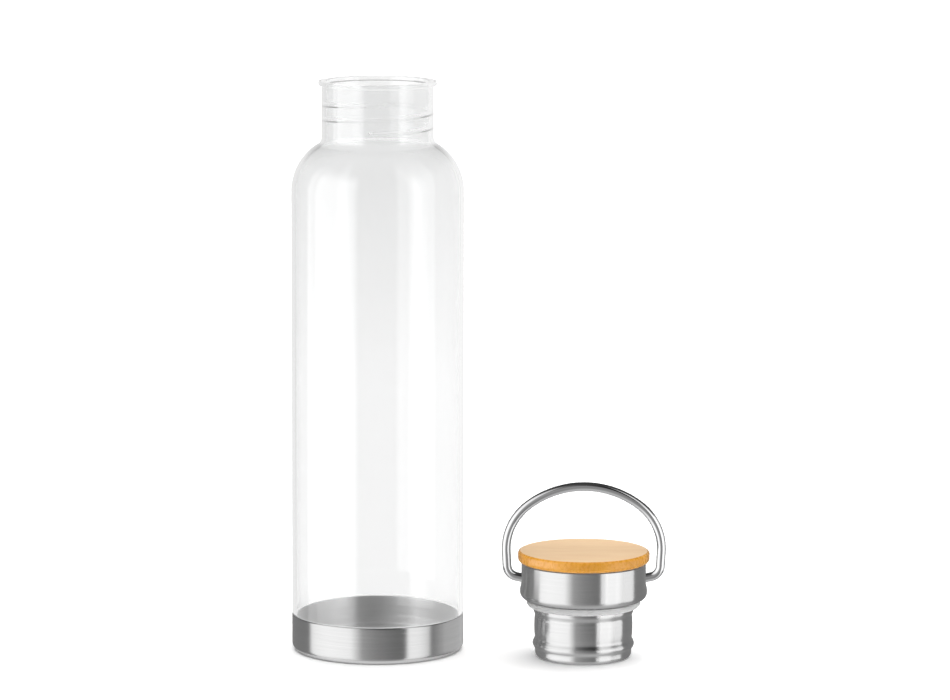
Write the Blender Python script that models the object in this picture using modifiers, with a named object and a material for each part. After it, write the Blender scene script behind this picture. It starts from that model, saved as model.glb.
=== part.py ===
"""A glass water bottle with a steel foot, and its lid standing beside it with the carrying bail up.

Metres, +Z up. The origin is the middle of the bottle's underside. The lid stands on the same plane,
on an axis of its own, because the bottle is open. The bail's pivot axis runs along X through the lid.
"""

from math import acos, atan2, cos, degrees, pi, radians, sin, sqrt

import bmesh
import bpy

# Driving dimensions, in metres.
TURN_STEPS = 48
HIDDEN_STEPS = 32
WASHER_STEPS = 16
GAP = 0.0003

BODY_RADIUS = 0.03745
GLASS_WALL = 0.0020
MOUTH_HEIGHT = 0.2495
SHOULDER_HEIGHT = 0.2015
SHOULDER_RADIUS = 0.0241
NECK_RADIUS = 0.02425
NECK_FILLET = 0.0035
FLANGE_RADIUS = 0.02565
FLANGE_THICKNESS = 0.0020
LIP_ROUND = 0.0006

THREAD_PITCH = 0.0063
THREAD_TURNS = 2.1
THREAD_START_HEIGHT = 0.2279
THREAD_START_ANGLE = -108
THREAD_BEAD = 0.0007
THREAD_POINTS_A_TURN = 20

CUP_RADIUS = 0.0375
CUP_HEIGHT = 0.0160
CUP_WALL = 0.0006
CUP_CORNER = 0.0030
BOND_THICKNESS = 0.0006
GLASS_FLOOR = 0.0035
HEEL_CORNER = 0.0040

LID_X = 0.0898
LID_Y = -0.0160
STEEL = 0.0006

PLUG_FOOT_RADIUS = 0.02095
PLUG_CORNER = 0.0020
PLUG_RADIUS = 0.0214
LOWER_BEAD_RADIUS = 0.0221
LOWER_BEAD_HEIGHT = 0.0059
LOWER_BEAD_HALF = 0.0024
PLUG_NECK_RADIUS = 0.0211
PLUG_NECK_HEIGHT = 0.0088
GROOVE_RADIUS = 0.0211
GROOVE_HEIGHT = 0.0184
GROOVE_HALF = 0.0016
PLUG_TOP_RADIUS = 0.02185
PLUG_TOP_FOOT = 0.0204
PLUG_FLANGE_RADIUS = 0.0244

GASKET_RADIUS = 0.0248
GASKET_BOTTOM = 0.0220

COLLAR_RADIUS = 0.02765
COLLAR_BOTTOM = 0.0255
COLLAR_TOP = 0.0413
COLLAR_CORNER = 0.0030
PRESSED_FLAT_DEPTH = 0.0006
PRESSED_FLAT_HALF_ANGLE = 27
PRESSED_FLAT_FOOT = 0.0290
PRESSED_FLAT_FULL = 0.0330

CORE_RADIUS = 0.0254
CORE_INNER_RADIUS = 0.0220
CORE_FLANGE_RADIUS = 0.0267
CORE_FLANGE_TOP = 0.0290
CORE_TOP = 0.0402
CORE_PLATE = 0.0018
FOAM_RADIUS = 0.0200
FOAM_TOP = 0.0295
PAD_RADIUS = 0.0245

BAMBOO_RADIUS = 0.0286
BAMBOO_BOTTOM = 0.0416
BAMBOO_TOP = 0.0467
BAMBOO_TOP_ROUND = 0.0014
BAMBOO_BOTTOM_ROUND = 0.0020

WIRE_RADIUS = 0.00195
PIVOT_HEIGHT = 0.0343
BAIL_HALF_WIDTH = 0.0337
BAIL_TOP = 0.0747
BAIL_CROWN_RADIUS = 0.0397
BAIL_SHOULDER_RADIUS = 0.0240
BAIL_LEG_LEAN = 3.2
BAIL_FOOT_RADIUS = 0.0051
BAIL_FOOT_TURN = 78
BAIL_END_BEND = 0.0260
BAIL_END = 0.0192
PIVOT_HOLE_RADIUS = 0.0026
WASHER_RADIUS = 0.0036
WASHER_THICKNESS = 0.0008
WASHER_PLACE = 0.0203


def clear_scene():
    for obj in list(bpy.data.objects):
        bpy.data.objects.remove(obj, do_unlink=True)


def new_collection(name):
    collection = bpy.data.collections.new(name)
    bpy.context.scene.collection.children.link(collection)
    return collection


def finish(name, colour, roughness, metallic=0.0, transmission=0.0):
    """A Principled material of one colour."""
    material = bpy.data.materials.new(name)
    material.use_nodes = True
    shader = material.node_tree.nodes["Principled BSDF"]
    shader.inputs["Base Color"].default_value = (*colour, 1.0)
    shader.inputs["Roughness"].default_value = roughness
    shader.inputs["Metallic"].default_value = metallic
    shader.inputs["Transmission Weight"].default_value = transmission
    return material


def arc(centre_r, centre_z, radius, start, end, pieces):
    """Points (r, z) along an arc, with angles in degrees from +r towards +z."""
    turns = [radians(start + (end - start) * i / pieces) for i in range(pieces + 1)]
    return [(centre_r + radius * cos(t), centre_z + radius * sin(t)) for t in turns]


def turned(name, outline, material, closed, place=(0, 0, 0), steps=TURN_STEPS):
    """A turned piece about Z. Its outline runs down the outer side, from top to bottom."""
    count = len(outline)
    edges = [(i, (i + 1) % count) for i in range(count if closed else count - 1)]
    mesh = bpy.data.meshes.new(name)
    mesh.from_pydata([(r, 0, z) for r, z in outline], edges, [])
    obj = bpy.data.objects.new(name, mesh)
    obj.location = place
    parts.objects.link(obj)
    screw = obj.modifiers.new("Turn", "SCREW")
    screw.axis = "Z"
    screw.steps = steps
    screw.render_steps = steps
    screw.use_merge_vertices = True
    screw.merge_threshold = 1e-6
    screw.use_smooth_shade = True
    mesh.materials.append(material)
    return obj


def settled(obj):
    """The object with its modifiers made part of its mesh, welded and shaded by angle."""
    graph = bpy.context.evaluated_depsgraph_get()
    mesh = bpy.data.meshes.new_from_object(obj.evaluated_get(graph))
    weld = bmesh.new()
    weld.from_mesh(mesh)
    bmesh.ops.remove_doubles(weld, verts=weld.verts, dist=1e-6)
    weld.to_mesh(mesh)
    weld.free()
    mesh.shade_smooth()
    mesh.set_sharp_from_angle(angle=radians(35))
    name = obj.name
    solid = bpy.data.objects.new(name + "_solid", mesh)
    solid.matrix_world = obj.matrix_world
    for collection in obj.users_collection:
        collection.objects.link(solid)
    bpy.data.objects.remove(obj, do_unlink=True)
    solid.name = name
    return solid


def tube(name, points, radius, sides, material, collection, taper=0):
    """A solid tube along the points. The first and last `taper` points thin out to the ends."""
    curve = bpy.data.curves.new(name, "CURVE")
    curve.dimensions = "3D"
    curve.bevel_depth = radius
    curve.bevel_resolution = sides
    curve.use_fill_caps = True
    spline = curve.splines.new("POLY")
    spline.points.add(len(points) - 1)
    for i, point in enumerate(points):
        spline.points[i].co = (*point, 1)
        from_end = min(i, len(points) - 1 - i)
        if from_end < taper:
            spline.points[i].radius = 0.35 + 0.65 * from_end / taper
    if material:
        curve.materials.append(material)
    obj = bpy.data.objects.new(name, curve)
    collection.objects.link(obj)
    bpy.context.view_layer.update()
    return settled(obj)


def join(obj, other, operation):
    """A Boolean of the object with a helper, which stays hidden."""
    boolean = obj.modifiers.new(other.name, "BOOLEAN")
    boolean.operation = operation
    boolean.solver = "EXACT"
    boolean.object = other
    other.hide_render = True
    other.display_type = "WIRE"


def glass_outline():
    """From the middle of the inner floor, up the inside, over the mouth and down the outside."""
    arc_centre_r = BODY_RADIUS - SHOULDER_RADIUS
    fillet_centre_r = NECK_RADIUS + NECK_FILLET
    reach = SHOULDER_RADIUS + NECK_FILLET
    rise = sqrt(reach**2 - (fillet_centre_r - arc_centre_r) ** 2)
    fillet_centre_z = SHOULDER_HEIGHT + rise
    blend = degrees(atan2(rise, fillet_centre_r - arc_centre_r))
    bore = NECK_RADIUS - GLASS_WALL
    inner = BODY_RADIUS - GLASS_WALL
    heel = CUP_RADIUS - CUP_WALL - GAP
    heel_inner = heel - GLASS_WALL
    bottom = CUP_WALL + BOND_THICKNESS + 2 * GAP
    floor = bottom + GLASS_FLOOR
    step = CUP_HEIGHT + GAP
    inner_floor = arc(heel_inner - HEEL_CORNER, floor + HEEL_CORNER, HEEL_CORNER, -90, 0, 3)
    inner_shoulder = arc(arc_centre_r, SHOULDER_HEIGHT, SHOULDER_RADIUS - GLASS_WALL, 0, blend, 6)
    inner_fillet = arc(
        fillet_centre_r, fillet_centre_z, NECK_FILLET + GLASS_WALL, blend + 180, 180, 3
    )
    lip_in = arc(bore + LIP_ROUND, MOUTH_HEIGHT - LIP_ROUND, LIP_ROUND, 180, 90, 2)
    lip_out = arc(FLANGE_RADIUS - LIP_ROUND, MOUTH_HEIGHT - LIP_ROUND, LIP_ROUND, 90, 0, 2)
    flange_bottom = MOUTH_HEIGHT - FLANGE_THICKNESS
    fillet = arc(fillet_centre_r, fillet_centre_z, NECK_FILLET, 180, blend + 180, 3)
    shoulder = arc(arc_centre_r, SHOULDER_HEIGHT, SHOULDER_RADIUS, blend, 0, 7)
    heel_corner = arc(heel - HEEL_CORNER, bottom + HEEL_CORNER, HEEL_CORNER, 0, -90, 3)
    return [
        (0, floor),
        *inner_floor,
        (heel_inner, step - 0.004),
        (inner, step),
        *inner_shoulder,
        *inner_fillet[1:],
        *lip_in,
        *lip_out,
        (FLANGE_RADIUS, flange_bottom + LIP_ROUND / 2),
        (FLANGE_RADIUS - LIP_ROUND / 2, flange_bottom),
        (NECK_RADIUS, flange_bottom),
        *fillet,
        *shoulder[1:],
        (BODY_RADIUS, step),
        (heel, step),
        *heel_corner,
        (0, bottom),
    ]


def make_glass_bottle(material):
    bottle = turned("glass_bottle", glass_outline(), material, closed=False)
    bore = NECK_RADIUS - GLASS_WALL
    count = round(THREAD_TURNS * THREAD_POINTS_A_TURN)
    points = []
    for i in range(count + 1):
        turn = i / THREAD_POINTS_A_TURN
        angle = radians(THREAD_START_ANGLE + 360 * turn)
        height = THREAD_START_HEIGHT + THREAD_PITCH * turn
        points.append((bore * cos(angle), bore * sin(angle), height))
    ridge = tube("thread_ridge", points, THREAD_BEAD, 2, None, helpers, taper=4)
    join(bottle, ridge, "UNION")
    return bottle


def make_base_cup(material):
    corner = CUP_RADIUS - CUP_CORNER
    inner_corner = CUP_CORNER - CUP_WALL
    outline = [
        (0, CUP_WALL),
        *arc(corner, CUP_CORNER, inner_corner, -90, 0, 3),
        (CUP_RADIUS - CUP_WALL, CUP_HEIGHT),
        (CUP_RADIUS, CUP_HEIGHT),
        *arc(corner, CUP_CORNER, CUP_CORNER, 0, -90, 4),
        (0, 0),
    ]
    return turned("base_cup", outline, material, closed=False)


def make_base_bond(material):
    low = CUP_WALL + GAP
    outer = CUP_RADIUS - CUP_CORNER - CUP_WALL
    inner = outer - 0.012
    top = low + BOND_THICKNESS
    outline = [(outer, top), (outer, low), (inner, low), (inner, top)]
    return turned("base_bond", outline, material, closed=True, steps=HIDDEN_STEPS)


def plug_side():
    """The plug's outer side, from under its flange down past a step, a groove and a bead."""
    flange_bottom = COLLAR_BOTTOM + STEEL + GAP
    step = (PLUG_TOP_RADIUS + GROOVE_RADIUS) / 2
    swell = (PLUG_NECK_RADIUS + 2 * LOWER_BEAD_RADIUS) / 3
    upper = [
        (PLUG_TOP_RADIUS, flange_bottom),
        (PLUG_TOP_RADIUS, PLUG_TOP_FOOT),
        (step, (PLUG_TOP_FOOT + GROOVE_HEIGHT) / 2),
        (GROOVE_RADIUS, GROOVE_HEIGHT),
        (PLUG_RADIUS, GROOVE_HEIGHT - GROOVE_HALF),
        (PLUG_RADIUS, PLUG_NECK_HEIGHT + GROOVE_HALF),
        (PLUG_NECK_RADIUS, PLUG_NECK_HEIGHT),
    ]
    lower = [
        (swell, LOWER_BEAD_HEIGHT + LOWER_BEAD_HALF * 0.5),
        (LOWER_BEAD_RADIUS, LOWER_BEAD_HEIGHT),
        (swell, LOWER_BEAD_HEIGHT - LOWER_BEAD_HALF * 0.5),
        (PLUG_FOOT_RADIUS, LOWER_BEAD_HEIGHT - LOWER_BEAD_HALF),
    ]
    corner = arc(PLUG_FOOT_RADIUS - PLUG_CORNER, PLUG_CORNER, PLUG_CORNER, 0, -90, 3)
    return [*upper, *lower, *corner]


def make_plug_shell(material):
    side = plug_side()
    flange_bottom = side[0][1]
    inner_radius = PLUG_NECK_RADIUS - STEEL
    inner_foot = PLUG_FOOT_RADIUS - STEEL
    outline = [
        (0, STEEL),
        *arc(inner_foot - 0.0014, STEEL + 0.0014, 0.0014, -90, 0, 2),
        (inner_foot, LOWER_BEAD_HEIGHT - LOWER_BEAD_HALF),
        (LOWER_BEAD_RADIUS - STEEL, LOWER_BEAD_HEIGHT),
        (inner_radius, PLUG_NECK_HEIGHT),
        (inner_radius, GROOVE_HEIGHT),
        (PLUG_TOP_RADIUS - STEEL, PLUG_TOP_FOOT),
        (PLUG_TOP_RADIUS - STEEL, flange_bottom + STEEL),
        (PLUG_FLANGE_RADIUS, flange_bottom + STEEL),
        (PLUG_FLANGE_RADIUS, flange_bottom),
        *side,
        (0, 0),
    ]
    return turned("plug_shell", outline, material, closed=False)


def make_plug_foam(material):
    bottom = STEEL + GAP
    outline = [
        (0, FOAM_TOP),
        (FOAM_RADIUS, FOAM_TOP),
        (FOAM_RADIUS, bottom + 0.0015),
        (FOAM_RADIUS - 0.0015, bottom),
        (0, bottom),
    ]
    return turned("plug_foam", outline, material, closed=False, steps=HIDDEN_STEPS)


def make_gasket(material):
    inner = PLUG_TOP_RADIUS + GAP
    top = COLLAR_BOTTOM - GAP
    outline = [
        (inner, top),
        (GASKET_RADIUS - 0.0003, top),
        (GASKET_RADIUS, top - 0.0003),
        *arc(GASKET_RADIUS - 0.0022, GASKET_BOTTOM + 0.0022, 0.0022, 0, -70, 3),
        (inner + 0.0004, GASKET_BOTTOM),
        (inner, GASKET_BOTTOM + 0.0004),
    ]
    return turned("gasket", outline, material, closed=True)


def smooth_step(value):
    value = min(1.0, max(0.0, value))
    return value * value * (3 - 2 * value)


def press_flats(mesh):
    """Presses the shallow flats round the two pivot holes into a wall turned about Z."""
    for vertex in mesh.vertices:
        x, y, z = vertex.co
        radius = sqrt(x * x + y * y)
        if radius < CORE_RADIUS:
            continue
        angle = degrees(atan2(abs(y), abs(x)))
        across = max(0.0, 1 - angle / PRESSED_FLAT_HALF_ANGLE)
        up = (z - PRESSED_FLAT_FOOT) / (PRESSED_FLAT_FULL - PRESSED_FLAT_FOOT)
        depth = PRESSED_FLAT_DEPTH * smooth_step(across * 1.25) * smooth_step(up)
        vertex.co.x *= (radius - depth) / radius
        vertex.co.y *= (radius - depth) / radius


def pivot_drill():
    """A rod along the bail's axis that cuts the holes."""
    bpy.ops.mesh.primitive_cylinder_add(
        vertices=16,
        radius=PIVOT_HOLE_RADIUS,
        depth=3 * COLLAR_RADIUS,
        location=(LID_X, LID_Y, PIVOT_HEIGHT),
        rotation=(0, pi / 2, 0),
    )
    drill = bpy.context.object
    drill.name = "pivot_drill"
    for collection in list(drill.users_collection):
        collection.objects.unlink(drill)
    helpers.objects.link(drill)
    return drill


def make_collar_shell(material, drill):
    corner = COLLAR_RADIUS - COLLAR_CORNER
    hole = PLUG_TOP_RADIUS + GAP
    wall = [COLLAR_TOP, 0.0380, 0.0343, 0.0318, 0.0300]
    inner_wall = [(COLLAR_RADIUS - STEEL, z) for z in reversed(wall)]
    outline = [
        (hole, COLLAR_BOTTOM),
        (hole, COLLAR_BOTTOM + STEEL),
        *arc(corner, COLLAR_BOTTOM + COLLAR_CORNER, COLLAR_CORNER - STEEL, -90, 0, 3),
        *inner_wall,
        *[(COLLAR_RADIUS, z) for z in wall],
        *arc(corner, COLLAR_BOTTOM + COLLAR_CORNER, COLLAR_CORNER, 0, -90, 4),
    ]
    collar = settled(turned("collar_shell", outline, material, closed=True))
    press_flats(collar.data)
    collar.location = (LID_X, LID_Y, 0)
    join(collar, drill, "DIFFERENCE")
    return collar


def make_lid_core(material, drill):
    bottom = COLLAR_BOTTOM + 2 * STEEL + 2 * GAP
    outline = [
        (0, CORE_TOP),
        (CORE_RADIUS - 0.0004, CORE_TOP),
        (CORE_RADIUS, CORE_TOP - 0.0004),
        (CORE_RADIUS, CORE_FLANGE_TOP),
        (CORE_FLANGE_RADIUS, CORE_FLANGE_TOP),
        (CORE_FLANGE_RADIUS, bottom + 0.0010),
        (CORE_FLANGE_RADIUS - 0.0010, bottom),
        (CORE_INNER_RADIUS, bottom),
        (CORE_INNER_RADIUS, CORE_TOP - CORE_PLATE),
        (0, CORE_TOP - CORE_PLATE),
    ]
    place = (LID_X, LID_Y, 0)
    core = turned("lid_core", outline, material, closed=False, place=place, steps=HIDDEN_STEPS)
    join(core, drill, "DIFFERENCE")
    return core


def make_bamboo_bond(material):
    low = CORE_TOP + GAP
    top = BAMBOO_BOTTOM - GAP
    outline = [(0, top), (PAD_RADIUS, top), (PAD_RADIUS, low), (0, low)]
    return turned("bamboo_bond", outline, material, closed=False, steps=HIDDEN_STEPS)


def make_bamboo_disc(material):
    top = arc(
        BAMBOO_RADIUS - BAMBOO_TOP_ROUND, BAMBOO_TOP - BAMBOO_TOP_ROUND, BAMBOO_TOP_ROUND, 90, 0, 3
    )
    low = arc(
        BAMBOO_RADIUS - BAMBOO_BOTTOM_ROUND,
        BAMBOO_BOTTOM + BAMBOO_BOTTOM_ROUND,
        BAMBOO_BOTTOM_ROUND,
        0,
        -75,
        3,
    )
    foot = (BAMBOO_RADIUS - BAMBOO_BOTTOM_ROUND - 0.0002, BAMBOO_BOTTOM)
    outline = [(0, BAMBOO_TOP), *top, *low, foot, (0, BAMBOO_BOTTOM)]
    return turned("bamboo_disc", outline, material, closed=False)


def bail_half():
    """The bail's centre line as (x, z) about the pivot axis, from the crown to one end."""
    crown_centre = BAIL_TOP - PIVOT_HEIGHT - BAIL_CROWN_RADIUS
    rest = BAIL_CROWN_RADIUS - BAIL_SHOULDER_RADIUS
    shoulder_centre = BAIL_HALF_WIDTH - BAIL_SHOULDER_RADIUS
    meet = degrees(acos(shoulder_centre / rest))
    shoulder_z = crown_centre + rest * sin(radians(meet))
    shoulder = arc(shoulder_centre, shoulder_z, BAIL_SHOULDER_RADIUS, meet, -BAIL_LEG_LEAN, 5)
    lean = radians(BAIL_LEG_LEAN)
    turn = radians(BAIL_FOOT_TURN)
    slope = cos(turn) / sin(turn)
    leg_x, leg_z = shoulder[-1]
    across = leg_x + BAIL_FOOT_RADIUS * (cos(turn) - cos(lean)) - BAIL_END_BEND
    down = leg_z + BAIL_FOOT_RADIUS * (sin(lean) - sin(turn)) - across * slope
    leg = down / (cos(lean) - sin(lean) * slope)
    foot_centre = leg_x - leg * sin(lean) - BAIL_FOOT_RADIUS * cos(lean)
    foot_z = leg_z - leg * cos(lean) + BAIL_FOOT_RADIUS * sin(lean)
    return [
        *arc(0, crown_centre, BAIL_CROWN_RADIUS, 90, meet, 6),
        *shoulder[1:],
        *arc(foot_centre, foot_z, BAIL_FOOT_RADIUS, -BAIL_LEG_LEAN, -BAIL_FOOT_TURN, 5),
        (BAIL_END_BEND, 0),
        (BAIL_END, 0),
    ]


def make_bail_handle(material):
    half = bail_half()
    centre_line = [(-x, z) for x, z in reversed(half[1:])] + half
    points = [(LID_X + x, LID_Y, PIVOT_HEIGHT + z) for x, z in centre_line]
    return tube("bail_handle", points, WIRE_RADIUS, 3, material, parts)


def make_bail_washers(material):
    hole = WIRE_RADIUS + GAP
    half = WASHER_THICKNESS / 2
    outline = [(WASHER_RADIUS, half), (WASHER_RADIUS, -half), (hole, -half), (hole, half)]
    for name, side in (("bail_washer_left", -1), ("bail_washer_right", 1)):
        washer = turned(name, outline, material, closed=True, steps=WASHER_STEPS)
        washer.rotation_euler = (0, pi / 2, 0)
        washer.location = (LID_X + side * WASHER_PLACE, LID_Y, PIVOT_HEIGHT)


clear_scene()
parts = new_collection("glass_water_bottle")
helpers = new_collection("helpers")

glass = finish("clear_glass", (0.96, 0.98, 0.98), 0.02, transmission=1.0)
brushed = finish("brushed_steel", (0.62, 0.62, 0.62), 0.28, metallic=1.0)
polished = finish("polished_steel", (0.70, 0.70, 0.70), 0.10, metallic=1.0)
silicone = finish("clear_silicone", (0.86, 0.86, 0.85), 0.45)
adhesive = finish("adhesive", (0.75, 0.75, 0.73), 0.50)
plastic = finish("moulded_polypropylene", (0.55, 0.55, 0.54), 0.45)
foam = finish("insulating_foam", (0.88, 0.88, 0.86), 0.80)
bamboo = finish("bamboo", (0.72, 0.47, 0.22), 0.55)

make_glass_bottle(glass)
make_base_cup(brushed)
make_base_bond(adhesive)

drill = pivot_drill()
for piece in (
    make_plug_shell(brushed),
    make_plug_foam(foam),
    make_gasket(silicone),
    make_bamboo_bond(adhesive),
    make_bamboo_disc(bamboo),
):
    piece.location = (LID_X, LID_Y, 0)
make_collar_shell(brushed, drill)
make_lid_core(plastic, drill)
make_bail_handle(polished)
make_bail_washers(polished)
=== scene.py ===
from math import acos, atan2, cos, degrees, pi, radians, sin, sqrt, tan

import bmesh
import bpy
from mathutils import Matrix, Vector


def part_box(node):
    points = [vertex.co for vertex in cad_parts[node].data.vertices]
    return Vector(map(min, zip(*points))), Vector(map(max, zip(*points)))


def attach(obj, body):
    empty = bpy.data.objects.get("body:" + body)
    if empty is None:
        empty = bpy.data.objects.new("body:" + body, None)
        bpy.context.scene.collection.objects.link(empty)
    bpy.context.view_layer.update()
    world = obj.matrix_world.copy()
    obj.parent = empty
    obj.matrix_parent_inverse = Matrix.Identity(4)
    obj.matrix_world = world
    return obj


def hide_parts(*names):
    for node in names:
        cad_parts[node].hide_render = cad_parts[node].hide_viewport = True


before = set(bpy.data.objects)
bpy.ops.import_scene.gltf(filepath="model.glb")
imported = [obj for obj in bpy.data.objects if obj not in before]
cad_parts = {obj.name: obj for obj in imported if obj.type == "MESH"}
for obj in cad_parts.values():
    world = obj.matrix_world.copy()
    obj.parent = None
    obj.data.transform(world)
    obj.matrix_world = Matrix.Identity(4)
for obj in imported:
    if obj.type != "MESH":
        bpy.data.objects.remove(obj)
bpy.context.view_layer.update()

# How round the pieces are, and the angle in degrees from which an edge is sharp.
ROUND_STEPS = 224
HOLE_STEPS = 48
WIRE_SIDES = 40
SHARP_ANGLE = 38
# Two radii closer than this are the same.
TINY = 1e-6

# The bottle, in metres. Heights are above the floor, and angles are in degrees.
GLASS_WALL = 0.0020
SHOULDER_HEIGHT = 0.2015
SHOULDER_RADIUS = 0.0241
NECK_RADIUS = 0.02425
FLANGE_RADIUS = 0.02565
NECK_FILLET = 0.0035
FLANGE_THICKNESS = 0.0020
LIP_ROUND = 0.0006
GLASS_FLOOR = 0.0035
HEEL_CORNER = 0.0040
GLASS_GAP = 0.0003
CUP_WALL = 0.0006
CUP_CORNER = 0.0030
CUP_TURN_IN = 0.0010
THREAD_PITCH = 0.0063
THREAD_TURNS = 2.1
THREAD_START_HEIGHT = 0.2279
THREAD_START_ANGLE = -108
THREAD_HEIGHT = 0.0006
THREAD_HALF_WIDTH = 0.0013
THREAD_FADE_ANGLE = 40
THREAD_CREST_POWER = 1.5

# The lid, on its own axis. The plug's side comes down from its flange, past a groove and a bead,
# as (radius, height).
STEEL = 0.0006
PLUG_SIDE = [
    (0.02185, 0.0224),
    (0.02190, 0.0212),
    (0.02175, 0.0203),
    (0.02135, 0.0193),
    (0.02112, 0.0184),
    (0.02130, 0.0172),
    (0.02140, 0.0150),
    (0.02140, 0.0122),
    (0.02130, 0.0104),
    (0.02112, 0.0088),
    (0.02128, 0.0080),
    (0.02180, 0.0070),
    (0.02208, 0.0060),
    (0.02180, 0.0049),
    (0.02120, 0.0040),
    (0.02097, 0.0032),
]
PLUG_FOOT_RADIUS = 0.02095
PLUG_CORNER = 0.0020
PLUG_TOP_RADIUS = 0.02185
PLUG_TOP_FOOT = 0.0204
GROOVE_RADIUS = 0.0211
GROOVE_HEIGHT = 0.0184
PLUG_NECK_HEIGHT = 0.0088
BEAD_RADIUS = 0.0221
BEAD_HEIGHT = 0.0059
BEAD_HALF = 0.0024
PLUG_HOLE_RADIUS = 0.02215
GASKET_ROUND = 0.0022
GASKET_EDGE = 0.0003
COLLAR_INSET = 0.00095
COLLAR_CORNER = 0.0030
PRESSED_FLAT_DEPTH = 0.0006
PRESSED_FLAT_HALF_ANGLE = 27
PRESSED_FLAT_FOOT = 0.0290
PRESSED_FLAT_FULL = 0.0330
PIVOT_HEIGHT = 0.0343
PIVOT_HOLE_RADIUS = 0.0026
DRILL_LENGTH = 0.08
BAMBOO_TOP_ROUND = 0.0014
BAMBOO_BOTTOM_ROUND = 0.0020
BAMBOO_FLAT_INSET = 0.010
# A face of the disc that faces up more than this takes the finish of the top.
BAMBOO_FACE_NORMAL = 0.93
WIRE_RADIUS = 0.00195
WIRE_BEVEL = 0.0003
BAIL_HALF_WIDTH = 0.0337
BAIL_TOP = 0.0747
BAIL_CROWN_RADIUS = 0.0397
BAIL_SHOULDER_RADIUS = 0.0240
BAIL_LEG_LEAN = 3.2
BAIL_FOOT_RADIUS = 0.0051
BAIL_FOOT_TURN = 78
BAIL_END_BEND = 0.0260
BAIL_END = 0.0192

# The camera and the studio.
CAMERA_PLACE = (0.04155, -2.0305, 0.42984)
CAMERA_PITCH = 8.343
CAMERA_ROLL = -0.15
LENS = 178.75
SENSOR_WIDTH = 36
FLOOR_HALF = 30.0
# How much light the floor throws back, how much more the eye gets, and how much it glows to the eye.
FLOOR_WHITE = 0.985
FLOOR_LIFT = 0.33
FLOOR_GLOW = 0.07


def middle(node):
    """The middle of a CAD node's box, on the plane of the floor."""
    low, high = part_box(node)
    return Vector(((low.x + high.x) / 2, (low.y + high.y) / 2, 0))


def radius_of(node):
    """Half the width of a CAD node's box."""
    low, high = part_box(node)
    return (high.x - low.x) / 2


BOTTLE_AXIS = Vector((0, 0, 0))
LID_AXIS = middle("plug_shell")
PIVOT = LID_AXIS + Vector((0, 0, PIVOT_HEIGHT))
BODY_RADIUS = radius_of("glass_bottle")
CUP_RADIUS = radius_of("base_cup")


# Shapes


def arc(centre_r, centre_z, radius, start, end, pieces):
    """Points (r, z) along an arc, with angles in degrees from +r towards +z."""
    turns = [radians(start + (end - start) * i / pieces) for i in range(pieces + 1)]
    return [(centre_r + radius * cos(t), centre_z + radius * sin(t)) for t in turns]


def run(start, end, pieces):
    """Points along a straight stretch, without its two ends."""
    steps = [i / pieces for i in range(1, pieces)]
    return [
        (start[0] + (end[0] - start[0]) * t, start[1] + (end[1] - start[1]) * t) for t in steps
    ]


def smooth_step(value):
    """Eases in and out from 0 to 1, and stays level outside that."""
    value = min(1.0, max(0.0, value))
    return value * value * (3 - 2 * value)


def finish_mesh(name, build, material):
    """Makes the built mesh into an object with one material, smooth but for its sharp edges."""
    bmesh.ops.recalc_face_normals(build, faces=build.faces)
    mesh = bpy.data.meshes.new(name)
    build.to_mesh(mesh)
    build.free()
    mesh.shade_smooth()
    mesh.set_sharp_from_angle(angle=radians(SHARP_ANGLE))
    mesh.materials.append(material)
    obj = bpy.data.objects.new(name, mesh)
    bpy.context.scene.collection.objects.link(obj)
    return obj


def turned(name, outline, material, axis, closed=False, reshape=None):
    """A piece turned about its axis. `reshape` takes a point's (r, z, angle) and gives its new r."""
    build = bmesh.new()
    rings = []
    for r, z in outline:
        if r < TINY:
            rings.append([build.verts.new((axis.x, axis.y, z))])
            continue
        ring = []
        for i in range(ROUND_STEPS):
            angle = 2 * pi * i / ROUND_STEPS
            reach = reshape(r, z, angle) if reshape else r
            spot = (axis.x + reach * cos(angle), axis.y + reach * sin(angle), z)
            ring.append(build.verts.new(spot))
        rings.append(ring)
    pairs = list(zip(rings, rings[1:]))
    if closed:
        pairs.append((rings[-1], rings[0]))
    for upper, lower in pairs:
        for i in range(ROUND_STEPS):
            j = (i + 1) % ROUND_STEPS
            corners = [upper[i % len(upper)], lower[i % len(lower)]]
            corners += [lower[j % len(lower)], upper[j % len(upper)]]
            face = list(dict.fromkeys(corners))
            if len(face) > 2:
                build.faces.new(face)
    return finish_mesh(name, build, material)


def coat_faces(piece, material, chosen):
    """Gives a second material to the faces that are chosen by their middle and normal."""
    piece.data.materials.append(material)
    for face in piece.data.polygons:
        if chosen(face.center, face.normal):
            face.material_index = 1


def show(piece, body, slot, *nodes):
    """The piece moves with its body and stands for the CAD nodes. The slot is not used."""
    piece.visible_glossy = False
    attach(piece, body)
    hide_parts(*nodes)


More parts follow.
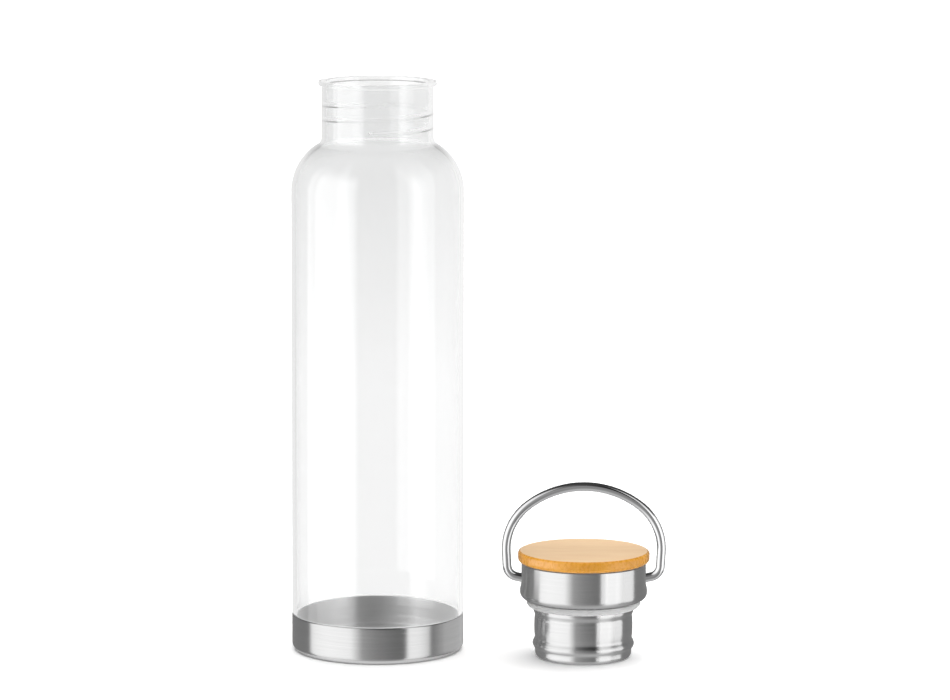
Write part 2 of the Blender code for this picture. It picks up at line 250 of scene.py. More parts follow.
def glass_outline():
    """From the middle of the inner floor, up the inside, over the mouth and down the outside."""
    low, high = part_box("glass_bottle")
    bottom = low.z
    mouth = high.z
    shoulder_centre = BODY_RADIUS - SHOULDER_RADIUS
    fillet_centre = NECK_RADIUS + NECK_FILLET
    reach = SHOULDER_RADIUS + NECK_FILLET
    rise = sqrt(reach**2 - (fillet_centre - shoulder_centre) ** 2)
    fillet_z = SHOULDER_HEIGHT + rise
    blend = degrees(atan2(rise, fillet_centre - shoulder_centre))
    bore = NECK_RADIUS - GLASS_WALL
    inner = BODY_RADIUS - GLASS_WALL
    heel = CUP_RADIUS - CUP_WALL - GLASS_GAP
    heel_inner = heel - GLASS_WALL
    floor = bottom + GLASS_FLOOR
    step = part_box("base_cup")[1].z + GLASS_GAP
    # Over this height below the step the inside widens, with a small bend at each end.
    widening = 0.0045
    bend = 0.0010
    nudge = 0.0001
    under = mouth - FLANGE_THICKNESS
    soft = 0.00035
    return [
        (0, floor),
        *run((0, floor), (heel_inner - HEEL_CORNER, floor), 6),
        *arc(heel_inner - HEEL_CORNER, floor + HEEL_CORNER, HEEL_CORNER, -90, 0, 12),
        (heel_inner, step - widening),
        (heel_inner + nudge, step - widening + bend),
        (inner - nudge, step - bend),
        (inner, step),
        *run((inner, step), (inner, SHOULDER_HEIGHT), 12),
        *arc(shoulder_centre, SHOULDER_HEIGHT, SHOULDER_RADIUS - GLASS_WALL, 0, blend, 28),
        *arc(fillet_centre, fillet_z, NECK_FILLET + GLASS_WALL, blend + 180, 180, 10)[1:],
        *run((bore, fillet_z), (bore, mouth - LIP_ROUND), 110),
        *arc(bore + LIP_ROUND, mouth - LIP_ROUND, LIP_ROUND, 180, 90, 6),
        *arc(FLANGE_RADIUS - LIP_ROUND, mouth - LIP_ROUND, LIP_ROUND, 90, 0, 6),
        *arc(FLANGE_RADIUS - LIP_ROUND, under + LIP_ROUND, LIP_ROUND, 0, -90, 6),
        *arc(NECK_RADIUS + soft, under - soft, soft, 90, 180, 5),
        *run((NECK_RADIUS, under - soft), (NECK_RADIUS, fillet_z), 4),
        *arc(fillet_centre, fillet_z, NECK_FILLET, 180, blend + 180, 10),
        *arc(shoulder_centre, SHOULDER_HEIGHT, SHOULDER_RADIUS, blend, 0, 28)[1:],
        *run((BODY_RADIUS, SHOULDER_HEIGHT), (BODY_RADIUS, step), 12),
        *arc(BODY_RADIUS - soft, step + soft, soft, 0, -90, 5),
        *arc(heel + soft, step - soft, soft, 90, 180, 4),
        *arc(heel - HEEL_CORNER, bottom + HEEL_CORNER, HEEL_CORNER, 0, -90, 12),
        *run((heel - HEEL_CORNER, bottom), (0, bottom), 6),
        (0, bottom),
    ]


def threaded(r, z, angle):
    """The inner wall of the neck stands in by the height of the thread's ridge."""
    bore = NECK_RADIUS - GLASS_WALL
    if abs(r - bore) > TINY:
        return r
    ridge = 0.0
    first = ((degrees(angle) - THREAD_START_ANGLE) % 360) / 360
    fades_in_a_turn = 360 / THREAD_FADE_ANGLE
    for turn in (first, first + 1, first + 2):
        if turn > THREAD_TURNS:
            continue
        off = abs(z - THREAD_START_HEIGHT - THREAD_PITCH * turn) / THREAD_HALF_WIDTH
        rising = smooth_step(turn * fades_in_a_turn)
        falling = smooth_step((THREAD_TURNS - turn) * fades_in_a_turn)
        if off < 1:
            crest = cos(pi / 2 * off) ** THREAD_CREST_POWER
            ridge = max(ridge, THREAD_HEIGHT * rising * falling * crest)
    return r - ridge


def cup_outline():
    """From the middle of the cup's floor, up the inside, over the rim and down to its underside."""
    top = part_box("base_cup")[1].z
    corner = CUP_RADIUS - CUP_CORNER
    inner = CUP_RADIUS - CUP_WALL
    edge = 0.00015
    turned_in = CUP_RADIUS - CUP_TURN_IN
    return [
        (0, CUP_WALL),
        *run((0, CUP_WALL), (corner, CUP_WALL), 8),
        *arc(corner, CUP_CORNER, CUP_CORNER - CUP_WALL, -90, 0, 12),
        *run((inner, CUP_CORNER), (inner, top - edge), 6),
        *arc(inner + edge, top - edge, edge, 180, 90, 3),
        *arc(turned_in, top - CUP_TURN_IN * sin(pi / 4), CUP_TURN_IN, 45, 0, 6),
        *run((CUP_RADIUS, top - CUP_TURN_IN), (CUP_RADIUS, CUP_CORNER), 6),
        *arc(corner, CUP_CORNER, CUP_CORNER, 0, -90, 14),
        *run((corner, 0), (0, 0), 8),
        (0, 0),
    ]


def between(a, b, c, d, t):
    """The number that is t of the way from b to c on a Catmull-Rom curve."""
    slope = c - a
    bend = 2 * a - 5 * b + 4 * c - d
    twist = 3 * b - a - 3 * c + d
    return 0.5 * (2 * b + slope * t + bend * t**2 + twist * t**3)


def eased(points, pieces):
    """A smooth curve through the points (r, z), with each stretch in so many pieces."""
    out = []
    padded = [points[0], *points, points[-1]]
    for stretch in zip(padded, padded[1:], padded[2:], padded[3:]):
        radii, heights = zip(*stretch)
        for i in range(pieces):
            t = i / pieces
            out.append((between(*radii, t), between(*heights, t)))
    return [*out, points[-1]]


def plug_outline():
    """From the middle of the inner floor, up the inside, over the flange and down the outside."""
    low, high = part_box("plug_shell")
    flange = radius_of("plug_shell")
    flange_bottom = high.z - STEEL
    floor = low.z + STEEL
    groove = GROOVE_RADIUS - STEEL
    top = PLUG_TOP_RADIUS - STEEL
    foot = PLUG_FOOT_RADIUS - STEEL
    corner = PLUG_CORNER - STEEL
    corner_centre = PLUG_FOOT_RADIUS - PLUG_CORNER
    return [
        (0, floor),
        (corner_centre, floor),
        *arc(corner_centre, low.z + PLUG_CORNER, corner, -90, 0, 6)[1:],
        (foot, BEAD_HEIGHT - BEAD_HALF),
        (BEAD_RADIUS - STEEL, BEAD_HEIGHT),
        (groove, PLUG_NECK_HEIGHT),
        (groove, GROOVE_HEIGHT),
        (top, PLUG_TOP_FOOT),
        (top, high.z),
        (flange, high.z),
        (flange, flange_bottom),
        (PLUG_TOP_RADIUS, flange_bottom),
        *eased(PLUG_SIDE, 4),
        *arc(corner_centre, low.z + PLUG_CORNER, PLUG_CORNER, 0, -90, 12),
        *run((corner_centre, low.z), (0, low.z), 6),
        (0, low.z),
    ]


def gasket_outline():
    """A ring in section, with a full round at its lower outer edge."""
    low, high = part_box("gasket")
    outer = radius_of("gasket")
    return [
        (PLUG_HOLE_RADIUS, high.z),
        *arc(outer - GASKET_EDGE, high.z - GASKET_EDGE, GASKET_EDGE, 90, 0, 4),
        *arc(outer - GASKET_ROUND, low.z + GASKET_ROUND, GASKET_ROUND, 0, -80, 12),
        (PLUG_HOLE_RADIUS + GASKET_EDGE, low.z),
        (PLUG_HOLE_RADIUS, low.z + GASKET_EDGE),
    ]


def pressed(r, z, angle):
    """The shallow flats pressed round the two pivot holes, full depth in the middle fifth."""
    off = degrees(angle) % 180
    off = min(off, 180 - off)
    fade_angle = PRESSED_FLAT_HALF_ANGLE * 0.8
    across = (PRESSED_FLAT_HALF_ANGLE - off) / fade_angle
    up = (z - PRESSED_FLAT_FOOT) / (PRESSED_FLAT_FULL - PRESSED_FLAT_FOOT)
    return r - PRESSED_FLAT_DEPTH * smooth_step(across) * smooth_step(up)


def collar_outline():
    """A ring in section: the hole for the plug, the floor, the side and its open top."""
    low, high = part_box("collar_shell")
    outer = radius_of("bamboo_disc") - COLLAR_INSET
    inner = outer - STEEL
    floor = low.z + STEEL
    corner = outer - COLLAR_CORNER
    centre = low.z + COLLAR_CORNER
    return [
        (PLUG_HOLE_RADIUS, low.z),
        (PLUG_HOLE_RADIUS, floor),
        *run((PLUG_HOLE_RADIUS, floor), (corner, floor), 3),
        *arc(corner, centre, COLLAR_CORNER - STEEL, -90, 0, 10),
        *run((inner, centre), (inner, high.z), 26),
        (inner, high.z),
        (outer, high.z),
        *run((outer, high.z), (outer, centre), 26),
        *arc(corner, centre, COLLAR_CORNER, 0, -90, 14),
    ]


def bamboo_outline():
    """From the middle of the top, over the rounded edge, to the middle of the underside."""
    low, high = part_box("bamboo_disc")
    outer = radius_of("bamboo_disc")
    top = high.z - BAMBOO_TOP_ROUND
    bottom = low.z + BAMBOO_BOTTOM_ROUND
    return [
        (0, high.z),
        *run((0, high.z), (outer - BAMBOO_TOP_ROUND, high.z), 14),
        *arc(outer - BAMBOO_TOP_ROUND, top, BAMBOO_TOP_ROUND, 90, 0, 10),
        *arc(outer - BAMBOO_BOTTOM_ROUND, bottom, BAMBOO_BOTTOM_ROUND, 0, -80, 12),
        (outer - BAMBOO_FLAT_INSET, low.z),
        (0, low.z),
    ]


def bail_half():
    """The bail's centre line as (x, z) about the pivot axis, from the crown to one end."""
    crown_centre = BAIL_TOP - PIVOT_HEIGHT - BAIL_CROWN_RADIUS
    rest = BAIL_CROWN_RADIUS - BAIL_SHOULDER_RADIUS
    shoulder_centre = BAIL_HALF_WIDTH - BAIL_SHOULDER_RADIUS
    meet = degrees(acos(shoulder_centre / rest))
    shoulder_z = crown_centre + rest * sin(radians(meet))
    shoulder = arc(shoulder_centre, shoulder_z, BAIL_SHOULDER_RADIUS, meet, -BAIL_LEG_LEAN, 18)
    lean = radians(BAIL_LEG_LEAN)
    turn = radians(BAIL_FOOT_TURN)
    slope = cos(turn) / sin(turn)
    leg_x, leg_z = shoulder[-1]
    across = leg_x + BAIL_FOOT_RADIUS * (cos(turn) - cos(lean)) - BAIL_END_BEND
    down = leg_z + BAIL_FOOT_RADIUS * (sin(lean) - sin(turn)) - across * slope
    leg = down / (cos(lean) - sin(lean) * slope)
    foot_centre = leg_x - leg * sin(lean) - BAIL_FOOT_RADIUS * cos(lean)
    foot_z = leg_z - leg * cos(lean) + BAIL_FOOT_RADIUS * sin(lean)
    # The last bend, into the pivot hole, is a tight one.
    bend_out = 0.0006
    bend_in = 0.0002
    return [
        *arc(0, crown_centre, BAIL_CROWN_RADIUS, 90, meet, 28),
        *shoulder[1:],
        *arc(foot_centre, foot_z, BAIL_FOOT_RADIUS, -BAIL_LEG_LEAN, -BAIL_FOOT_TURN, 18),
        (BAIL_END_BEND + bend_out, bend_out * slope),
        (BAIL_END_BEND - bend_in, 0),
        (BAIL_END, 0),
    ]


def wire(name, origin, route, radius, material):
    """A round wire with bevelled ends, on a route of (x, z) from the origin."""
    rings = []
    last = len(route) - 1
    for i, (x, z) in enumerate(route):
        before = route[max(i - 1, 0)]
        after = route[min(i + 1, last)]
        along = Vector((after[0] - before[0], 0, after[1] - before[1])).normalized()
        rings.append((origin + Vector((x, 0, z)), along, radius))
    start, start_along, _ = rings[0]
    end, end_along, _ = rings[-1]
    rings.insert(0, (start - start_along * WIRE_BEVEL, start_along, radius - WIRE_BEVEL))
    rings.append((end + end_along * WIRE_BEVEL, end_along, radius - WIRE_BEVEL))
    build = bmesh.new()
    loops = []
    for spot, along, reach in rings:
        out = Vector((-along.z, 0, along.x))
        loop = []
        for j in range(WIRE_SIDES):
            angle = 2 * pi * j / WIRE_SIDES
            side = out * cos(angle) + Vector((0, 1, 0)) * sin(angle)
            loop.append(build.verts.new(spot + side * reach))
        loops.append(loop)
    for first, second in zip(loops, loops[1:]):
        for j in range(WIRE_SIDES):
            k = (j + 1) % WIRE_SIDES
            build.faces.new((first[j], first[k], second[k], second[j]))
    build.faces.new(loops[0])
    build.faces.new(loops[-1])
    return finish_mesh(name, build, material)


# Materials


def principled(name, colour, roughness, metallic=0.0):
    """A new material and its shader, which the finishes below build on."""
    material = bpy.data.materials.new(name)
    material.use_nodes = True
    shader = material.node_tree.nodes["Principled BSDF"]
    shader.inputs["Base Color"].default_value = (*colour, 1.0)
    shader.inputs["Roughness"].default_value = roughness
    shader.inputs["Metallic"].default_value = metallic
    return material, shader


def node(material, kind, **settings):
    made = material.node_tree.nodes.new(kind)
    for key, value in settings.items():
        setattr(made, key, value)
    return made


def link(material, out, into):
    material.node_tree.links.new(out, into)


def stretched_noise(material, scale, detail=4.0):
    """Noise in object space, as fine along each axis as the scale says."""
    place = node(material, "ShaderNodeTexCoord")
    mapping = node(material, "ShaderNodeMapping")
    mapping.inputs["Scale"].default_value = scale
    noise = node(material, "ShaderNodeTexNoise")
    noise.inputs["Scale"].default_value = 1.0
    noise.inputs["Detail"].default_value = detail
    noise.inputs["Roughness"].default_value = 0.6
    link(material, place.outputs["Object"], mapping.inputs["Vector"])
    link(material, mapping.outputs["Vector"], noise.inputs["Vector"])
    return noise.outputs["Fac"]


def spread(material, value, low, high, from_low=0.3, from_high=0.7):
    """Maps a value from one range to another."""
    ranged = node(material, "ShaderNodeMapRange")
    ranged.inputs["From Min"].default_value = from_low
    ranged.inputs["From Max"].default_value = from_high
    ranged.inputs["To Min"].default_value = low
    ranged.inputs["To Max"].default_value = high
    link(material, value, ranged.inputs["Value"])
    return ranged.outputs["Result"]


def layered(material, fine, broad, share):
    """Two noises as one value, with this share of the broad one."""
    mixed = node(material, "ShaderNodeMix", data_type="FLOAT")
    mixed.inputs["Factor"].default_value = share
    link(material, fine, mixed.inputs["A"])
    link(material, broad, mixed.inputs["B"])
    return mixed.outputs["Result"]


def tinted(material, shader, factor, first, second):
    """The base colour goes from the first to the second as the factor goes from 0 to 1."""
    tint = node(material, "ShaderNodeMix", data_type="RGBA")
    tint.inputs["A"].default_value = (*first, 1)
    tint.inputs["B"].default_value = (*second, 1)
    link(material, factor, tint.inputs["Factor"])
    link(material, tint.outputs["Result"], shader.inputs["Base Color"])


def roughened(material, shader, value, low, high):
    """The roughness goes from low to high with the noise."""
    link(material, spread(material, value, low, high), shader.inputs["Roughness"])


def brushed_steel(name, level, roughness, streak, grain=0.92):
    """Steel brushed round its axis, in fine rings: `streak` is how much they change the colour,
    and `grain` how much they stretch its highlights."""
    material, shader = principled(name, (level, level, level), roughness, 1.0)
    shader.inputs["Anisotropic"].default_value = grain
    shader.inputs["Anisotropic Rotation"].default_value = 0.25
    tangent = node(material, "ShaderNodeTangent", direction_type="RADIAL", axis="Z")
    link(material, tangent.outputs["Tangent"], shader.inputs["Tangent"])
    fine = stretched_noise(material, (14, 14, 5200), 3.0)
    broad = stretched_noise(material, (25, 25, 900), 2.0)
    value = layered(material, fine, broad, 0.4)
    colour = node(material, "ShaderNodeCombineColor")
    for channel in ("Red", "Green", "Blue"):
        shade = spread(material, value, level * (1 - streak), level * (1 + streak))
        link(material, shade, colour.inputs[channel])
    link(material, colour.outputs["Color"], shader.inputs["Base Color"])
    roughened(material, shader, value, roughness * 0.85, roughness * 1.15)
    return material


def polished_steel():
    """Drawn wire, polished."""
    material, shader = principled("polished_steel_wire", (0.72, 0.72, 0.725), 0.09, 1.0)
    drawn = stretched_noise(material, (120, 120, 120), 3.0)
    roughened(material, shader, drawn, 0.06, 0.13)
    return material


def clear_glass():
    """Clear glass with painted shade: a little greyer up at the shoulder and the neck."""
    clear_tint = (0.955, 0.956, 0.956)
    painted_shade_tint = (0.868, 0.871, 0.871)
    material, shader = principled("clear_glass_body", clear_tint, 0.0)
    shader.inputs["Transmission Weight"].default_value = 1.0
    shader.inputs["IOR"].default_value = 1.47
    place = node(material, "ShaderNodeTexCoord")
    parts = node(material, "ShaderNodeSeparateXYZ")
    link(material, place.outputs["Object"], parts.inputs["Vector"])
    # Painted shade: the tint turns greyer upwards, over the shoulder and into the neck.
    upwards = spread(material, parts.outputs["Z"], 0, 1, 0.120, 0.228)
    tinted(material, shader, upwards, clear_tint, painted_shade_tint)
    return material


def silicone():
    """Milky silicone with a satin surface."""
    material, shader = principled("translucent_silicone", (0.94, 0.94, 0.935), 0.32)
    shader.inputs["Subsurface Weight"].default_value = 0.6
    shader.inputs["Subsurface Radius"].default_value = (0.006, 0.006, 0.006)
    cloud = stretched_noise(material, (300, 300, 300), 3.0)
    roughened(material, shader, cloud, 0.26, 0.40)
    return material


def bamboo(name, fibre, tile, dark, light, roughness):
    """Bamboo in two colours. `fibre` and `tile` say how fine its two noises are along each axis."""
    material, shader = principled(name, light, roughness)
    fine = stretched_noise(material, fibre, 4.0)
    broad = stretched_noise(material, tile, 3.0)
    value = spread(material, layered(material, fine, broad, 0.5), 0, 1, 0.36, 0.64)
    tinted(material, shader, value, dark, light)
    roughened(material, shader, fine, roughness * 0.85, roughness * 1.15)
    return material, shader


def bamboo_face():
    """The top of the disc: pale, dry, with fibres along X."""
    dark = (0.93, 0.64, 0.38)
    light = (1.0, 0.73, 0.46)
    material, shader = bamboo("bamboo_face", (70, 1500, 1500), (40, 150, 150), dark, light, 0.5)
    shader.inputs["Specular IOR Level"].default_value = 0.15
    return material


def bamboo_edge():
    """The side of the disc: darker and lacquered, with a speckle of cut fibres."""
    dark = (0.84, 0.34, 0.020)
    light = (1.0, 0.47, 0.050)
    material, shader = bamboo("bamboo_edge", (700, 700, 500), (150, 150, 90), dark, light, 0.28)
    shader.inputs["Specular IOR Level"].default_value = 0.4
    shader.inputs["Coat Weight"].default_value = 0.6
    shader.inputs["Coat Roughness"].default_value = 0.2
    return material


def plain(name, colour, roughness, scale, change=0.06):
    """A matt moulded or foamed material with a slight mottle."""
    material, shader = principled(name, colour, roughness)
    mottle = stretched_noise(material, (scale, scale, scale))
    dark = [c * (1 - change) for c in colour]
    light = [min(1, c * (1 + change)) for c in colour]
    tinted(material, shader, spread(material, mottle, 0, 1), dark, light)
    return material


def dress(cad_node, material):
    """Gives a carried-over CAD node its material, and keeps it out of reflections."""
    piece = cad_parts[cad_node]
    piece.visible_glossy = False
    piece.data.materials.clear()
    piece.data.materials.append(material)


# The object


def make_bottle():
    """The glass and its steel foot. Returns the foot, which the strips of light are for."""
    glass = turned("glass_body", glass_outline(), clear_glass(), BOTTLE_AXIS, reshape=threaded)
    show(glass, "bottle", "clear_glass", "glass_bottle")
    outside = brushed_steel("brushed_steel_cup", 0.62, 0.24, 0.07)
    cup = turned("steel_foot", cup_outline(), outside, BOTTLE_AXIS)
    # The inside is less brushed, and a paler copy of the steel: painted light that brightens it.
    inside = brushed_steel("brushed_steel_inside_painted_light", 0.90, 0.46, 0.04, grain=0.35)
    half_wall = CUP_WALL / 2
    reach = CUP_RADIUS - half_wall
    coat_faces(cup, inside, lambda place, _: place.z > half_wall and place.xy.length < reach)
    show(cup, "bottle", "brushed_steel", "base_cup")
    # The foot mirrors itself, and no other piece is mirrored.
    cup.visible_glossy = True
    dress("base_bond", plain("clear_adhesive", (0.86, 0.86, 0.855), 0.4, 400))
    return cup


def cut_pivot_holes(collar):
    """Drills both holes for the bail, right through the collar along X."""
    bpy.ops.mesh.primitive_cylinder_add(
        vertices=HOLE_STEPS,
        radius=PIVOT_HOLE_RADIUS,
        depth=DRILL_LENGTH,
        location=PIVOT,
        rotation=(0, pi / 2, 0),
    )
    drill = bpy.context.object
    cut = collar.modifiers.new("pivot holes", "BOOLEAN")
    cut.operation = "DIFFERENCE"
    cut.object = drill
    graph = bpy.context.evaluated_depsgraph_get()
    mesh = bpy.data.meshes.new_from_object(collar.evaluated_get(graph))
    collar.modifiers.clear()
    collar.data = mesh
    bpy.data.objects.remove(drill, do_unlink=True)


def make_lid():
    """The plug, gasket, collar and disc. Returns the two steel pieces as a list, and the disc."""
    steel = brushed_steel("brushed_steel_lid", 0.645, 0.24, 0.06)
    plug = turned("steel_plug", plug_outline(), steel, LID_AXIS)
    show(plug, "lid", "brushed_steel", "plug_shell")
    seal = turned("silicone_gasket", gasket_outline(), silicone(), LID_AXIS, closed=True)
    show(seal, "seal", "clear_silicone", "gasket")
    side = collar_outline()
    collar = turned("steel_collar", side, steel, LID_AXIS, closed=True, reshape=pressed)
    cut_pivot_holes(collar)
    show(collar, "lid", "brushed_steel", "collar_shell")
    disc = turned("bamboo_top", bamboo_outline(), bamboo_edge(), LID_AXIS)
    coat_faces(disc, bamboo_face(), lambda _, normal: normal.z > BAMBOO_FACE_NORMAL)
    show(disc, "lid", "bamboo", "bamboo_disc")
    dress("lid_core", plain("moulded_polypropylene", (0.55, 0.55, 0.54), 0.45, 500))
    dress("plug_foam", plain("insulating_foam", (0.82, 0.82, 0.80), 0.85, 1500, change=0.12))
    dress("bamboo_bond", plain("adhesive_pad", (0.78, 0.78, 0.76), 0.5, 800))
    return [plug, collar], disc


def make_bail():
    """The wire bail and the washers on its ends. Returns the bail."""
    steel = polished_steel()
    half = bail_half()
    route = [(-x, z) for x, z in reversed(half[1:])] + half
    bail = wire("wire_bail", PIVOT, route, WIRE_RADIUS, steel)
    show(bail, "bail", "polished_steel", "bail_handle")
    for washer in ("bail_washer_left", "bail_washer_right"):
        dress(washer, steel)
    return bail


# The studio


def make_floor():
    """A wide pale floor, a little brighter to the eye. Light off the object passes through it."""
    bpy.ops.mesh.primitive_plane_add(size=2 * FLOOR_HALF)
    floor = bpy.context.object
    floor.name = "studio_floor"
    material, shader = principled("floor_white", (FLOOR_WHITE, FLOOR_WHITE, FLOOR_WHITE), 1.0)
    shader.inputs["Specular IOR Level"].default_value = 0.0
    shader.inputs["Emission Color"].default_value = (1, 1, 1, 1)
    path = node(material, "ShaderNodeLightPath")
    to_eye = path.outputs["Is Camera Ray"]
    shade = spread(material, to_eye, FLOOR_WHITE, FLOOR_WHITE + FLOOR_LIFT, 0, 1)
    link(material, shade, shader.inputs["Base Color"])
    glow = spread(material, to_eye, 0, FLOOR_GLOW, 0, 1)
    link(material, glow, shader.inputs["Emission Strength"])
    after_mirror = node(material, "ShaderNodeMath", operation="GREATER_THAN")
    after_mirror.inputs[1].default_value = 0.5
    link(material, path.outputs["Glossy Depth"], after_mirror.inputs[0])
    through = node(material, "ShaderNodeBsdfTransparent")
    mix = node(material, "ShaderNodeMixShader")
    link(material, after_mirror.outputs[0], mix.inputs["Fac"])
    link(material, shader.outputs["BSDF"], mix.inputs[1])
    link(material, through.outputs["BSDF"], mix.inputs[2])
    out = material.node_tree.nodes["Material Output"]
    link(material, mix.outputs["Shader"], out.inputs["Surface"])
    floor.data.materials.append(material)
    floor.visible_shadow = False


# What the steel mirrors, by the compass: degrees from the front, positive to the right of it, and
# how bright it is there.
STEEL_SEES = [
    (-180, 0.26),
    (-104, 0.27),
    (-100, 1.34),
    (-70, 1.46),
    (-36, 1.40),
    (-20, 0.46),
    (0, 0.32),
    (39, 0.16),
    (43, 1.36),
    (60, 1.30),
    (74, 1.02),
    (78, 0.30),
    (90, 0.28),
    (180, 0.26),
]
# The same for the glass, which mirrors sharply.
GLASS_SEES = [
    (-180, 0.88),
    (-130, 0.85),
    (-92, 0.74),
    (-87, 2.50),
    (-30, 2.50),
    (-24, 0.40),
    (42, 0.35),
    (47, 2.40),
    (58, 2.20),
    (64, 1.05),
    (110, 1.00),
    (180, 0.84),
]
# The brightest that a band may be.
MOST_BRIGHT = 3.0
# Upwards and downwards the bands fade into one brightness, and the steel's are dimmer on the way
# up. The two edges of a fade are sines of the angle above the horizon.
BELOW_EDGES = (-0.45, -0.95)
STEEL_BELOW = 0.60
STEEL_DIMMER_EDGES = (0.30, 0.60)
STEEL_DIMMER = 0.22
STEEL_ABOVE_EDGES = (0.72, 0.95)
STEEL_ABOVE = 0.06
GLASS_BELOW = 0.95
GLASS_ABOVE_EDGES = (0.35, 0.75)
GLASS_ABOVE = 0.40
# Light that has crossed more faces of the glass than this has its bands washed out to this range.
WASHED_AFTER = 2.5
WASHED_LOW = 0.80
WASHED_HIGH = 1.15
# What lights the matt pieces: a bright patch overhead that leans to the back, and little else.
OVERHEAD_WAY = (0, 0.17, 0.985)
OVERHEAD_EDGES = (0.60, 0.95)
OVERHEAD = 2.50
ROUND_ABOUT = 0.20
# What the eye sees behind the object.
BACKDROP = 1.05
# Strips of light that are near enough to look different from each place: from and to in
# degrees by the same compass, and how bright. They stand this far off and are this tall.
DISC_STRIPS = [(-115, -50, 1.15), (60, 110, 0.5)]
LID_STRIPS = [(30, 42, 1.1), (44, 60, 0.14), (60, 76, 0.33), (76, 102, 1.0)]
CUP_STRIPS = [(84, 91, 0.10), (91, 100, 0.22), (100, 165, 0.34)]
STRIP_AWAY = 3.0
STRIP_TALL = 3.0


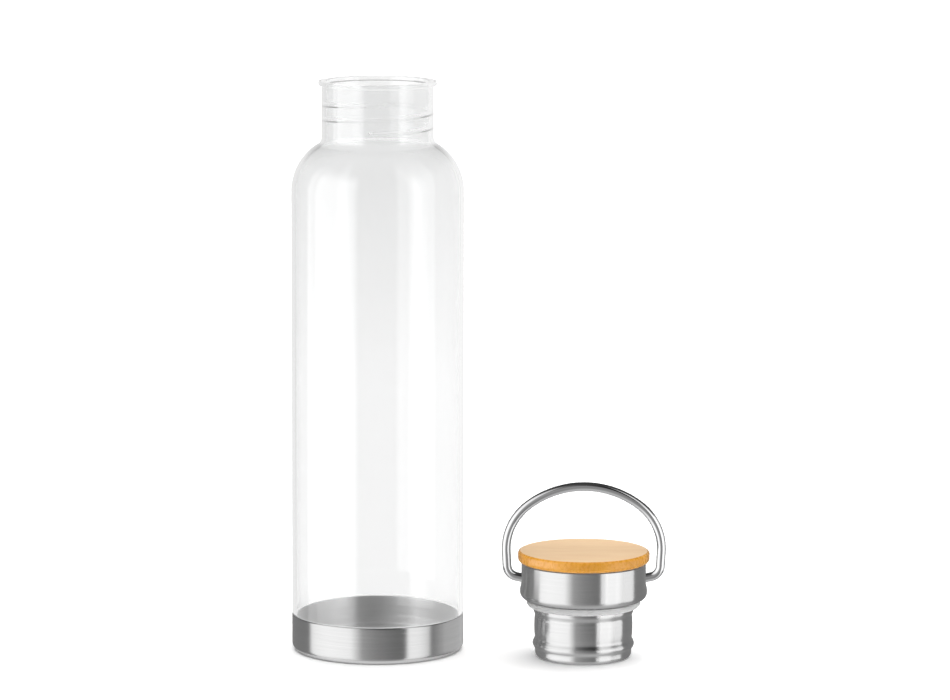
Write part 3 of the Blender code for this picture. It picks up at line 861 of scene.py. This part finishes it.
def make_world():
    """White for the eye, overhead light for what is matt, and bands for what mirrors."""
    world = bpy.data.worlds.new("studio")
    bpy.context.scene.world = world
    world.use_nodes = True
    world.cycles.sampling_method = "NONE"
    nodes = world.node_tree.nodes
    links = world.node_tree.links
    nodes.clear()

    def make(kind, **settings):
        made = nodes.new(kind)
        for key, value in settings.items():
            setattr(made, key, value)
        return made

    def maths(operation, first, second):
        """One operation on a socket and a second value, which is a socket or a number."""
        made = make("ShaderNodeMath", operation=operation)
        links.new(first, made.inputs[0])
        if isinstance(second, float):
            made.inputs[1].default_value = second
        else:
            links.new(second, made.inputs[1])
        return made.outputs[0]

    def after_one(depth):
        """1 for light that has met one such surface or more."""
        return maths("GREATER_THAN", depth, 0.5)

    def spread_out(value, from_low, from_high, to_low, to_high):
        ranged = make("ShaderNodeMapRange")
        ranged.inputs["From Min"].default_value = from_low
        ranged.inputs["From Max"].default_value = from_high
        ranged.inputs["To Min"].default_value = to_low
        ranged.inputs["To Max"].default_value = to_high
        links.new(value, ranged.inputs["Value"])
        return ranged.outputs["Result"]

    def blend(factor, low, high):
        """Low where the factor is 0 and high where it is 1. Each is a socket or a number."""
        mix = make("ShaderNodeMix", data_type="FLOAT")
        links.new(factor, mix.inputs["Factor"])
        for value, into in ((low, mix.inputs["A"]), (high, mix.inputs["B"])):
            if isinstance(value, float):
                into.default_value = value
            else:
                links.new(value, into)
        return mix.outputs["Result"]

    def fade(value, edges):
        """From 0 at the first edge to 1 at the second."""
        step = make("ShaderNodeMapRange", interpolation_type="SMOOTHSTEP")
        step.inputs["From Min"].default_value = edges[0]
        step.inputs["From Max"].default_value = edges[1]
        links.new(value, step.inputs["Value"])
        return step.outputs["Result"]

    def banded(along, table):
        """The bands of a table, where `along` goes from 0 to 1 round the compass."""
        bands = make("ShaderNodeFloatCurve")
        curve = bands.mapping.curves[0]
        spots = [((turn + 180) / 360, level / MOST_BRIGHT) for turn, level in table]
        curve.points[0].location = spots[0]
        curve.points[1].location = spots[-1]
        for spot in spots[1:-1]:
            curve.points.new(*spot)
        for point in curve.points:
            point.handle_type = "VECTOR"
        bands.mapping.update()
        links.new(along, bands.inputs["Value"])
        return maths("MULTIPLY", bands.outputs["Value"], MOST_BRIGHT)

    place = make("ShaderNodeTexCoord")
    split = make("ShaderNodeSeparateXYZ")
    links.new(place.outputs["Generated"], split.inputs["Vector"])
    front = maths("MULTIPLY", split.outputs["Y"], -1.0)
    compass = maths("ARCTAN2", split.outputs["X"], front)
    along = spread_out(compass, -pi, pi, 0, 1)
    height = split.outputs["Z"]
    below = fade(height, BELOW_EDGES)

    bands = banded(along, STEEL_SEES)
    dimmer = maths("SUBTRACT", bands, STEEL_DIMMER)
    steel = blend(below, bands, STEEL_BELOW)
    steel = blend(fade(height, STEEL_DIMMER_EDGES), steel, dimmer)
    steel = blend(fade(height, STEEL_ABOVE_EDGES), steel, STEEL_ABOVE)

    glass = blend(below, banded(along, GLASS_SEES), GLASS_BELOW)
    glass = blend(fade(height, GLASS_ABOVE_EDGES), glass, GLASS_ABOVE)
    washed = spread_out(glass, 0, 1, WASHED_LOW, WASHED_HIGH)
    path = make("ShaderNodeLightPath")
    crossed = maths("GREATER_THAN", path.outputs["Transmission Depth"], WASHED_AFTER)
    glass = blend(crossed, glass, washed)

    mirrored = blend(path.outputs["Is Singular Ray"], steel, glass)
    tilted = make("ShaderNodeVectorMath", operation="DOT_PRODUCT")
    tilted.inputs[1].default_value = OVERHEAD_WAY
    links.new(place.outputs["Generated"], tilted.inputs[0])
    overhead = blend(fade(tilted.outputs["Value"], OVERHEAD_EDGES), ROUND_ABOUT, OVERHEAD)
    seen = blend(after_one(path.outputs["Glossy Depth"]), BACKDROP, mirrored)
    seen = blend(after_one(path.outputs["Diffuse Depth"]), seen, overhead)
    background = make("ShaderNodeBackground")
    background.inputs["Color"].default_value = (1, 1, 1, 1)
    links.new(seen, background.inputs["Strength"])
    out = make("ShaderNodeOutputWorld")
    links.new(background.outputs["Background"], out.inputs["Surface"])


def make_strips(axis, strips, pieces):
    """Strips of light round an axis that only these pieces see."""
    receivers = bpy.data.collections.new("lit by strips")
    for piece in pieces:
        receivers.objects.link(piece)
    for start, end, level in strips:
        turn = radians((start + end) / 2)
        width = 2 * STRIP_AWAY * tan(radians(end - start) / 2)
        data = bpy.data.lights.new("strip", "AREA")
        data.shape = "RECTANGLE"
        data.size = width
        data.size_y = STRIP_TALL
        data.energy = level * pi * width * STRIP_TALL
        light = bpy.data.objects.new("strip", data)
        light.location = axis + Vector((sin(turn), -cos(turn), 0)) * STRIP_AWAY
        light.rotation_euler = (pi / 2, 0, turn)
        light.visible_camera = False
        light.light_linking.receiver_collection = receivers
        light.light_linking.blocker_collection = receivers
        bpy.context.scene.collection.objects.link(light)


def make_camera():
    """A long lens, somewhat higher than the bottle and looking slightly down."""
    data = bpy.data.cameras.new("camera")
    data.lens = LENS
    data.sensor_width = SENSOR_WIDTH
    data.clip_end = 4 * FLOOR_HALF
    camera = bpy.data.objects.new("camera", data)
    camera.location = CAMERA_PLACE
    camera.rotation_euler = (radians(90 - CAMERA_PITCH), radians(CAMERA_ROLL), 0)
    bpy.context.scene.collection.objects.link(camera)
    bpy.context.scene.camera = camera


scene = bpy.context.scene
scene.view_settings.view_transform = "Standard"
scene.cycles.max_bounces = 40
scene.cycles.transmission_bounces = 40
scene.cycles.glossy_bounces = 12
make_camera()
make_world()
make_floor()
make_strips(BOTTLE_AXIS, CUP_STRIPS, [make_bottle()])
lid_steel, disc = make_lid()
make_strips(LID_AXIS, LID_STRIPS, [*lid_steel, make_bail()])
make_strips(LID_AXIS, DISC_STRIPS, [disc])
